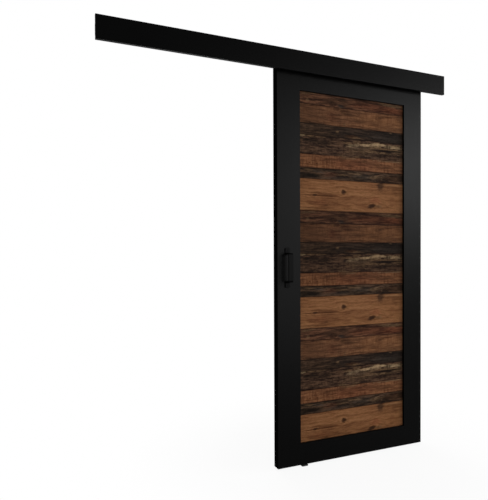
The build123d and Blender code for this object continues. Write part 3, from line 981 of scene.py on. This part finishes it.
def set_out(model, name, places, turn=0):
    """Copies a model to each place, turned about X, and joins the copies into one piece."""
    copies = []
    for place in places:
        activate(model)
        bpy.ops.object.duplicate()
        copy = bpy.context.object
        copy.rotation_euler = (math.radians(turn), 0.0, 0.0)
        copy.location = place
        copies.append(copy)
    bpy.data.objects.remove(model)
    bpy.ops.object.select_all(action="DESELECT")
    for copy in copies:
        copy.select_set(True)
    bpy.context.view_layer.objects.active = copies[0]
    if len(copies) > 1:
        bpy.ops.object.join()
    bpy.ops.object.transform_apply(location=True, rotation=True, scale=True)
    piece = bpy.context.object
    piece.name = piece.data.name = name
    bpy.ops.object.shade_smooth_by_angle(angle=SMOOTH_ANGLE)
    return piece


def stand_for(piece, node, body, material):
    """Puts a finished piece in the place of a CAD node."""
    paint(piece, material)
    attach(piece, body)
    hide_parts(node)


def middle_of(node):
    """The middle of a CAD node's box."""
    low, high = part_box(node)
    return (low + high) / 2


def spaced(first, last, count):
    """Evenly spaced places from the first to the last."""
    return [first + (last - first) * number / (count - 1) for number in range(count)]


def wear_board(node, name, tone):
    """A copy of a board whose front is worn into real relief: drawn out grain, pits and saw marks."""
    look = BOARD_LOOKS[tone]
    piece = bpy.data.objects.new(name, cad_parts[node].data.copy())
    bpy.context.scene.collection.objects.link(piece)
    activate(piece)
    low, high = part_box(node)

    def on_front(point):
        return point.y < low.y + WELD_DISTANCE

    bpy.ops.object.mode_set(mode="EDIT")
    bpy.ops.mesh.select_all(action="SELECT")
    bpy.ops.mesh.remove_doubles(threshold=SAME_PLACE)
    bpy.ops.mesh.dissolve_limited(angle_limit=FLAT_ANGLE)
    cells_across = round((high.x - low.x) / BOARD_CELL_ACROSS)
    cells_down = round((high.z - low.z) / BOARD_CELL_DOWN)
    pick_edges(piece, lambda a, b: on_front(a) and on_front(b) and abs(a.z - b.z) < SAME_PLACE)
    bpy.ops.mesh.subdivide(number_cuts=cells_across - 1)
    pick_edges(piece, lambda a, b: on_front(a) and on_front(b) and abs(a.x - b.x) < SAME_PLACE)
    bpy.ops.mesh.subdivide(number_cuts=cells_down - 1)
    bpy.ops.mesh.select_mode(type="VERT")
    bpy.ops.mesh.select_all(action="DESELECT")
    shape = bmesh.from_edit_mesh(piece.data)
    on_face = [vertex for vertex in shape.verts if on_front(vertex.co)]
    lowest = min(vertex.co.z for vertex in on_face)
    highest = max(vertex.co.z for vertex in on_face)
    for vertex in on_face:
        inside = lowest + BOARD_EDGE_REST < vertex.co.z < highest - BOARD_EDGE_REST
        vertex.select_set(inside and low.x + WELD_DISTANCE < vertex.co.x < high.x - WELD_DISTANCE)
    shape.select_flush_mode()
    bmesh.update_edit_mesh(piece.data)
    bpy.ops.object.vertex_group_assign_new()
    bpy.ops.object.mode_set(mode="OBJECT")
    worn = piece.vertex_groups[-1].name
    for texture, spread, depth, scaled_by in RELIEFS:
        bpy.ops.object.modifier_add(type="DISPLACE")
        relief = piece.modifiers[-1]
        relief.texture = relief_texture(texture)
        relief.texture_coords = "OBJECT"
        relief.texture_coords_object = spread_guide(texture, spread)
        relief.vertex_group = worn
        relief.direction = "Y"
        relief.mid_level = 0.0
        relief.strength = depth * look[scaled_by]
        bpy.ops.object.modifier_apply(modifier=relief.name)
    piece.vertex_groups.clear()
    bpy.ops.object.shade_smooth_by_angle(angle=SMOOTH_ANGLE)
    return piece


def relief_texture(name):
    """Cloud noise for the relief of the boards."""
    texture = bpy.data.textures.get(name)
    if texture is None:
        texture = bpy.data.textures.new(name, "CLOUDS")
        texture.noise_scale = 1.0
        texture.noise_depth = RELIEF_DETAIL
    return texture


def spread_guide(name, spread):
    """An empty whose size draws the noise of the relief out along the board."""
    guide = bpy.data.objects.get(name)
    if guide is None:
        active = bpy.context.view_layer.objects.active
        bpy.ops.object.empty_add(scale=spread)
        guide = bpy.context.object
        guide.name = name
        guide.scale = spread
        activate(active)
        bpy.context.view_layer.update()
    return guide


def colour_property(name, description, default):
    return bpy.props.FloatVectorProperty(
        name=name, description=description, default=default, size=3, min=0.0, max=1.0, subtype="COLOR"
    )


def share_property(name, description, default, most=1.0):
    return bpy.props.FloatProperty(name=name, description=description, default=default, min=0.0, max=most)


def angle_property(name, description, degrees):
    return bpy.props.FloatProperty(
        name=name, description=description, default=math.radians(degrees), subtype="ANGLE"
    )


def place_property(name, description, x, y, height):
    """A place whose height is counted from the foot of the leaf."""
    return bpy.props.FloatVectorProperty(
        name=name,
        description=description,
        default=(x, y, LEAF_LOW.z + height),
        subtype="TRANSLATION",
        unit="LENGTH",
    )


def size_property(name, description, width, height):
    return bpy.props.FloatVectorProperty(
        name=name, description=description, default=(width, height), size=2, unit="LENGTH"
    )


def power_property(name, description, watts):
    return bpy.props.FloatProperty(name=name, description=description, default=watts, unit="POWER")


class BarnDoorFinish(bpy.types.PropertyGroup):
    """Colours and gloss of the plain finishes."""

    frame_colour: colour_property("Frame", "Lacquer on the frame of the leaf", (0.0012, 0.0012, 0.0012))
    pelmet_colour: colour_property("Pelmet", "Lacquer on the pelmet and header", (0.0012, 0.0012, 0.0012))
    steel_colour: colour_property("Steel", "Zinc on the screws, bolts and plates", (0.50, 0.51, 0.52))
    track_colour: colour_property("Track", "Aluminium of the track", (0.58, 0.59, 0.60))
    cast_colour: colour_property("Trolley", "Cast trolley bodies and end stops", (0.22, 0.22, 0.23))
    nylon_colour: colour_property("Wheel", "Nylon of the wheels", (0.66, 0.64, 0.58))
    pull_colour: colour_property("Pull", "Powder coat on the pull", (0.0010, 0.0010, 0.0010))
    rubber_colour: colour_property("Rubber", "Bumpers and floor guide", (0.012, 0.012, 0.012))
    beech_colour: colour_property("Dowel", "Beech of the dowels", (0.50, 0.35, 0.20))
    lacquer_roughness: share_property("Lacquer roughness", "Roughness of the black lacquer", 0.40)
    lacquer_specular: share_property("Lacquer reflection", "Reflection of the black lacquer", 0.018)
    pelmet_specular: share_property("Pelmet reflection", "Reflection of the lacquer on the pelmet", 0.0135)


class BarnDoorStage(bpy.types.PropertyGroup):
    """Camera, lamps and floor."""

    camera_place: bpy.props.FloatVectorProperty(
        name="Camera",
        description="Where the camera stands, from the middle of the wall screws",
        default=(-1.1599, -2.1988, -0.9734),
        subtype="TRANSLATION",
        unit="LENGTH",
    )
    camera_turn: angle_property("Turn", "How far the camera turns to the right of square on", 22.67)
    camera_dip: angle_property("Dip", "How far the camera looks down", 0.857)
    camera_roll: angle_property("Roll", "How far the camera leans", -0.269)
    camera_lens: bpy.props.FloatProperty(
        name="Lens", description="Focal length on a sensor of 36 mm", default=35.0, subtype="DISTANCE_CAMERA"
    )
    camera_rise: bpy.props.FloatProperty(
        name="Rise", description="How far the lens is shifted up, as a share of the picture", default=0.0273
    )
    key_place: place_property("Key lamp", "Where the large lamp stands", -0.35, -3.00, 1.55)
    key_size: size_property("Key size", "Width and height of the large lamp", 1.6, 1.6)
    key_power: power_property("Key power", "Power of the large lamp", 21.0)
    side_place: place_property(
        "Side lamp", "Where the lamp stands that shades the right ends of the boards", 3.20, -1.30, 1.30
    )
    side_size: size_property("Side size", "Width and height of the side lamp", 2.0, 2.0)
    side_power: power_property("Side power", "Power of the side lamp", 60.0)
    sheen_place: place_property(
        "Sheen lamp", "Where the tall lamp stands that only shows in the gloss of the lacquer", 1.15, -2.30, 1.30
    )
    sheen_size: size_property("Sheen size", "Width and height of the tall lamp", 1.2, 2.5)
    sheen_power: power_property("Sheen power", "Power of the tall lamp", 90.0)
    glint_place: place_property(
        "Glint lamp", "Where the lamp stands that only shows in the gloss on the right", 2.80, -2.30, 2.02
    )
    glint_size: size_property("Glint size", "Width and height of the lamp on the right", 1.4, 1.4)
    glint_power: power_property("Glint power", "Power of the lamp on the right", 184.0)
    back_place: place_property("Back lamp", "Where the lamp behind the door stands", 0.36, 3.20, 1.70)
    back_size: size_property("Back size", "Width and height of the lamp behind the door", 2.0, 2.0)
    back_power: power_property("Back power", "Power of the lamp behind the door", 46.0)
    sky_level: share_property("Ambient", "Light that comes from all round", 0.56, 2.0)
    floor_width: bpy.props.FloatProperty(
        name="Floor", description="Width of the floor", default=16.0, unit="LENGTH"
    )


class BARNDOOR_OT_boards(bpy.types.Operator):
    """Wear the boards of the panel into relief and dress them"""

    bl_idname = "barn_door.boards"
    bl_label = "Boards"

    def execute(self, context):
        for number in range(BOARD_COUNT, 0, -1):
            node = f"board_{number:02d}"
            tone = TONE_NAMES[(number - 1) % len(TONE_NAMES)]
            seed = TONE_NAMES.index(tone) + 1
            bottom, top = self.shown(number)
            height = self.pattern_height(number)
            if number == 1:
                top = bottom + height
            piece = wear_board(node, f"worn_{node}", tone)
            material = board_material(f"{node}_{tone}", tone, top, height, seed)
            stand_for(piece, node, LEAF_BODY, material)
        for name, spread, depth, scaled_by in RELIEFS:
            bpy.data.objects.remove(bpy.data.objects[name])
        return {"FINISHED"}

    def shown(self, number):
        """The heights between which a board shows in the opening, without its tongue."""
        low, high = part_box(f"board_{number:02d}")
        top = min(high.z, OPENING_TOP) if number == 1 else high.z - TONGUE_HEIGHT
        return max(low.z, OPENING_BOTTOM), top

    def pattern_height(self, number):
        """The height of the lowest board of the same tone, except the last, which is cut at the foot."""
        while number + len(TONE_NAMES) < BOARD_COUNT:
            number += len(TONE_NAMES)
        bottom, top = self.shown(number)
        return top - bottom


class BARNDOOR_OT_frame(bpy.types.Operator):
    """Lacquer the stiles and rails"""

    bl_idname = "barn_door.frame"
    bl_label = "Frame"

    def execute(self, context):
        finish = context.scene.barn_door_finish
        colour, gloss = tuple(finish.frame_colour), (finish.lacquer_roughness, finish.lacquer_specular)
        dress(lacquer_material("black_lacquer_upright", colour, 2, *gloss), "left_stile", "right_stile")
        dress(lacquer_material("black_lacquer_across", colour, 0, *gloss), "top_rail", "bottom_rail")
        return {"FINISHED"}


class BARNDOOR_OT_header(bpy.types.Operator):
    """Finish the pelmet, the header board and the cleat"""

    bl_idname = "barn_door.header"
    bl_label = "Header"

    def execute(self, context):
        finish = context.scene.barn_door_finish
        colour, gloss = tuple(finish.pelmet_colour), (finish.lacquer_roughness, finish.pelmet_specular)
        lacquer = lacquer_material("black_lacquer_header", colour, 0, *gloss)
        dress(lacquer, "pelmet_board", "header_board", "wall_cleat")
        dress(moulded_material("beech", tuple(finish.beech_colour)), "pelmet_dowels")
        return {"FINISHED"}


class BARNDOOR_OT_track(bpy.types.Operator):
    """Finish the track, its screws, its end stops and the gear that runs in it"""

    bl_idname = "barn_door.track"
    bl_label = "Track"

    def execute(self, context):
        finish = context.scene.barn_door_finish
        dress(metal_material("drawn_aluminium", tuple(finish.track_colour)), "track")
        steel = metal_material("zinc_steel", tuple(finish.steel_colour))
        dress(steel, "axle_pins", "hanger_plate_left", "hanger_plate_right")
        self.set_header_screws(steel)
        self.set_plate_screws(steel)
        self.set_bolts(steel)
        cast = cast_material("cast_metal", tuple(finish.cast_colour))
        dress(cast, *(f"{kind}_{side}" for kind in ("end_stop", "trolley") for side in SIDES))
        rubber = moulded_material("black_rubber", tuple(finish.rubber_colour))
        dress(rubber, *(f"bumper_{side}" for side in SIDES))
        nylon = moulded_material("nylon", tuple(finish.nylon_colour))
        dress(nylon, *(f"wheel_{number}" for number in range(1, WHEEL_COUNT + 1)))
        dress(moulded_material("black_nylon", tuple(finish.rubber_colour)), "floor_guide")
        return {"FINISHED"}

    def row(self, node, inset, count):
        """The corners of a row of screws, and the middle of each screw."""
        low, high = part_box(node)
        along = spaced(low.x + inset, high.x - inset, count)
        return low, high, [(x, middle_of(node).y) for x in along]

    def set_header_screws(self, steel):
        """Screws of the header, the track and the end stops."""
        low, high, row = self.row("header_screws", SCREW_HEAD_RADIUS, HEADER_SCREW_COUNT)
        screw = sunk_screw(high.z - low.z, sink_cross)
        piece = set_out(screw, "cross_header_screws", [(x, y, high.z) for x, y in row])
        stand_for(piece, "header_screws", HEADER_BODY, steel)

        low, high, row = self.row("track_screws", SCREW_HEAD_RADIUS, TRACK_SCREW_COUNT)
        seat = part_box("end_stop_left")[1].z + TRACK_SCREW_SEAT
        screw = pan_screw(high.z - seat, seat - low.z)
        piece = set_out(screw, "pan_track_screws", [(x, y, seat) for x, y in row], 180)
        stand_for(piece, "track_screws", HEADER_BODY, steel)

        low, high, row = self.row("stop_screws", SET_SCREW_RADIUS, len(SIDES))
        screw = set_screw(low.z - high.z, 0.0)
        piece = set_out(screw, "socket_stop_screws", [(x, y, low.z) for x, y in row], 180)
        stand_for(piece, "stop_screws", HEADER_BODY, steel)

    def set_plate_screws(self, steel):
        """Two screws in each hanger plate."""
        low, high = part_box("plate_screws")
        plates = [middle_of(f"hanger_plate_{side}").x for side in SIDES]
        reach = plates[0] - low.x - SCREW_HEAD_RADIUS
        level = middle_of("plate_screws").y
        places = [(plate + end * reach, level, high.z) for plate in plates for end in (-1, 1)]
        piece = set_out(sunk_screw(high.z - low.z, sink_cross), "cross_plate_screws", places)
        stand_for(piece, "plate_screws", LEAF_BODY, steel)

    def set_bolts(self, steel):
        """Hanger bolts and the lock nuts on them."""
        nut_low, nut_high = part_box("lock_nuts")
        nut_places = []
        for side in SIDES:
            low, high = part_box(f"hanger_bolt_{side}")
            middle = middle_of(f"hanger_bolt_{side}")
            seat = low.z + BOLT_HEAD_HEIGHT
            piece = set_out(threaded_bolt(high.z - seat), f"threaded_bolt_{side}", [(middle.x, middle.y, seat)])
            stand_for(piece, f"hanger_bolt_{side}", LEAF_BODY, steel)
            nut_places.append((middle.x, middle.y, nut_low.z))
        piece = set_out(lock_nut(nut_high.z - nut_low.z), "chamfered_nuts", nut_places)
        stand_for(piece, "lock_nuts", LEAF_BODY, steel)


class BARNDOOR_OT_pull(bpy.types.Operator):
    """Finish the strap pull and its screws"""

    bl_idname = "barn_door.pull"
    bl_label = "Pull"

    def execute(self, context):
        coat = moulded_material("black_powder_coat", tuple(context.scene.barn_door_finish.pull_colour))
        dress(coat, "handle")
        low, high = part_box("handle_screws")
        heights = (low.z + SCREW_HEAD_RADIUS, high.z - SCREW_HEAD_RADIUS)
        places = [(middle_of("handle_screws").x, low.y, height) for height in heights]
        piece = set_out(sunk_screw(high.y - low.y, sink_socket), "socket_pull_screws", places, 90)
        stand_for(piece, "handle_screws", LEAF_BODY, coat)
        return {"FINISHED"}


# The lamps, then those that only matt surfaces show, then those that only gloss shows
LAMPS = ("key", "side", "back", "sheen", "glint")
MATT_LAMPS = ("side",)
GLOSS_LAMPS = ("sheen", "glint")
SENSOR_WIDTH = 36.0

# The floor, in metres and shares of white
WHITE = (1.0, 1.0, 1.0)
FLOOR_GREY = (0.88, 0.88, 0.88)
FLOOR_GAP = 0.0005
FLOOR_WHITE_NEAR = 0.90
FLOOR_WHITE_FADE = (0.5, 1.3)


class BARNDOOR_OT_stage(bpy.types.Operator):
    """Set the floor, the light and the camera"""

    bl_idname = "barn_door.stage"
    bl_label = "Stage"

    def execute(self, context):
        stage = context.scene.barn_door_stage
        self.add_floor(stage)
        self.add_light(context, stage)
        self.add_camera(context, stage)
        return {"FINISHED"}

    def seen_directly(self, net):
        """1 for what the camera sees, also by reflection or through glass."""
        rays = ("Is Camera Ray", "Is Glossy Ray", "Is Transmission Ray")
        camera, glossy, through = (net.node("ShaderNodeLightPath", output=ray) for ray in rays)
        return camera.most(glossy).most(through)

    def add_floor(self, stage):
        """A floor that shows white and keeps the door's shadow."""
        floor = start_piece(
            "floor",
            bpy.ops.mesh.primitive_plane_add,
            size=stage.floor_width,
            location=(0.0, 0.0, FLOOR_LEVEL - FLOOR_GAP),
        )
        material, net = new_material("white_floor")
        x, y, z = net.point()
        far = ((x - LEAF_MIDDLE.x) ** 2 + (y - LEAF_MIDDLE.y) ** 2).sqrt()
        white_share = FLOOR_WHITE_NEAR + net.smooth(far, *FLOOR_WHITE_FADE) * (1.0 - FLOOR_WHITE_NEAR)
        diffuse = net.node("ShaderNodeBsdfDiffuse", None, {"Color": FLOOR_GREY})
        white = net.node("ShaderNodeEmission", None, {"Color": WHITE, "Strength": 1.0})
        share = self.seen_directly(net) * white_share
        surface = net.node("ShaderNodeMixShader", None, {0: share, 1: diffuse, 2: white})
        net.node("ShaderNodeOutputMaterial", None, {"Surface": surface})
        floor.data.materials.append(material)

    def add_light(self, context, stage):
        """A white surround that lights the door at a plain level, and the lamps."""
        world = bpy.data.worlds.new("studio")
        world.use_nodes = True
        net = Net(world.node_tree)
        level = self.seen_directly(net) * (1.0 - stage.sky_level) + stage.sky_level
        sky = net.node("ShaderNodeBackground", None, {"Color": WHITE, "Strength": level})
        net.node("ShaderNodeOutputWorld", None, {"Surface": sky})
        context.scene.world = world
        for name in LAMPS:
            settings = (getattr(stage, f"{name}_{part}") for part in ("place", "size", "power"))
            holder = self.add_lamp(context, f"{name}_lamp", *settings)
            holder.visible_glossy = name not in MATT_LAMPS
            holder.visible_diffuse = name not in GLOSS_LAMPS

    def add_lamp(self, context, name, place, size, power):
        """A soft box that faces the middle of the leaf."""
        lamp = bpy.data.lights.new(name, "AREA")
        lamp.shape = "RECTANGLE"
        lamp.size, lamp.size_y = size
        lamp.energy = power
        holder = bpy.data.objects.new(name, lamp)
        context.scene.collection.objects.link(holder)
        holder.location = place
        holder.rotation_euler = (LEAF_MIDDLE - Vector(place)).to_track_quat("-Z", "Y").to_euler()
        return holder

    def add_camera(self, context, stage):
        """The camera, at the photograph's angle."""
        camera = bpy.data.cameras.new("camera")
        camera.lens = stage.camera_lens
        camera.sensor_width = SENSOR_WIDTH
        camera.shift_y = stage.camera_rise
        holder = bpy.data.objects.new("camera", camera)
        context.scene.collection.objects.link(holder)
        holder.location = stage.camera_place
        turned = Matrix.Rotation(-stage.camera_turn, 4, "Z")
        dipped = Matrix.Rotation(math.radians(90) - stage.camera_dip, 4, "X")
        rolled = Matrix.Rotation(stage.camera_roll, 4, "Z")
        holder.rotation_euler = (turned @ dipped @ rolled).to_euler()
        context.scene.camera = holder
        context.scene.view_settings.view_transform = "Standard"


class BARNDOOR_PT_sidebar(bpy.types.Panel):
    """The door's finishes and stage"""

    bl_idname = "BARNDOOR_PT_sidebar"
    bl_label = "Barn Door"
    bl_space_type = "VIEW_3D"
    bl_region_type = "UI"
    bl_category = "Barn Door"

    def draw(self, context):
        for settings in (context.scene.barn_door_finish, context.scene.barn_door_stage):
            box = self.layout.box()
            for name in settings.__annotations__:
                box.prop(settings, name)
        for operator in OPERATORS:
            self.layout.operator(operator.bl_idname)


OPERATORS = (
    BARNDOOR_OT_boards,
    BARNDOOR_OT_frame,
    BARNDOOR_OT_header,
    BARNDOOR_OT_track,
    BARNDOOR_OT_pull,
    BARNDOOR_OT_stage,
)
CLASSES = (BarnDoorFinish, BarnDoorStage, *OPERATORS, BARNDOOR_PT_sidebar)


def register():
    for item in CLASSES:
        bpy.utils.register_class(item)
    bpy.types.Scene.barn_door_finish = bpy.props.PointerProperty(type=BarnDoorFinish)
    bpy.types.Scene.barn_door_stage = bpy.props.PointerProperty(type=BarnDoorStage)


def unregister():
    del bpy.types.Scene.barn_door_stage
    del bpy.types.Scene.barn_door_finish
    for item in reversed(CLASSES):
        bpy.utils.unregister_class(item)


def main():
    register()
    bpy.ops.barn_door.boards()
    bpy.ops.barn_door.frame()
    bpy.ops.barn_door.header()
    bpy.ops.barn_door.track()
    bpy.ops.barn_door.pull()
    bpy.ops.barn_door.stage()


if __name__ == "__main__":
    main()
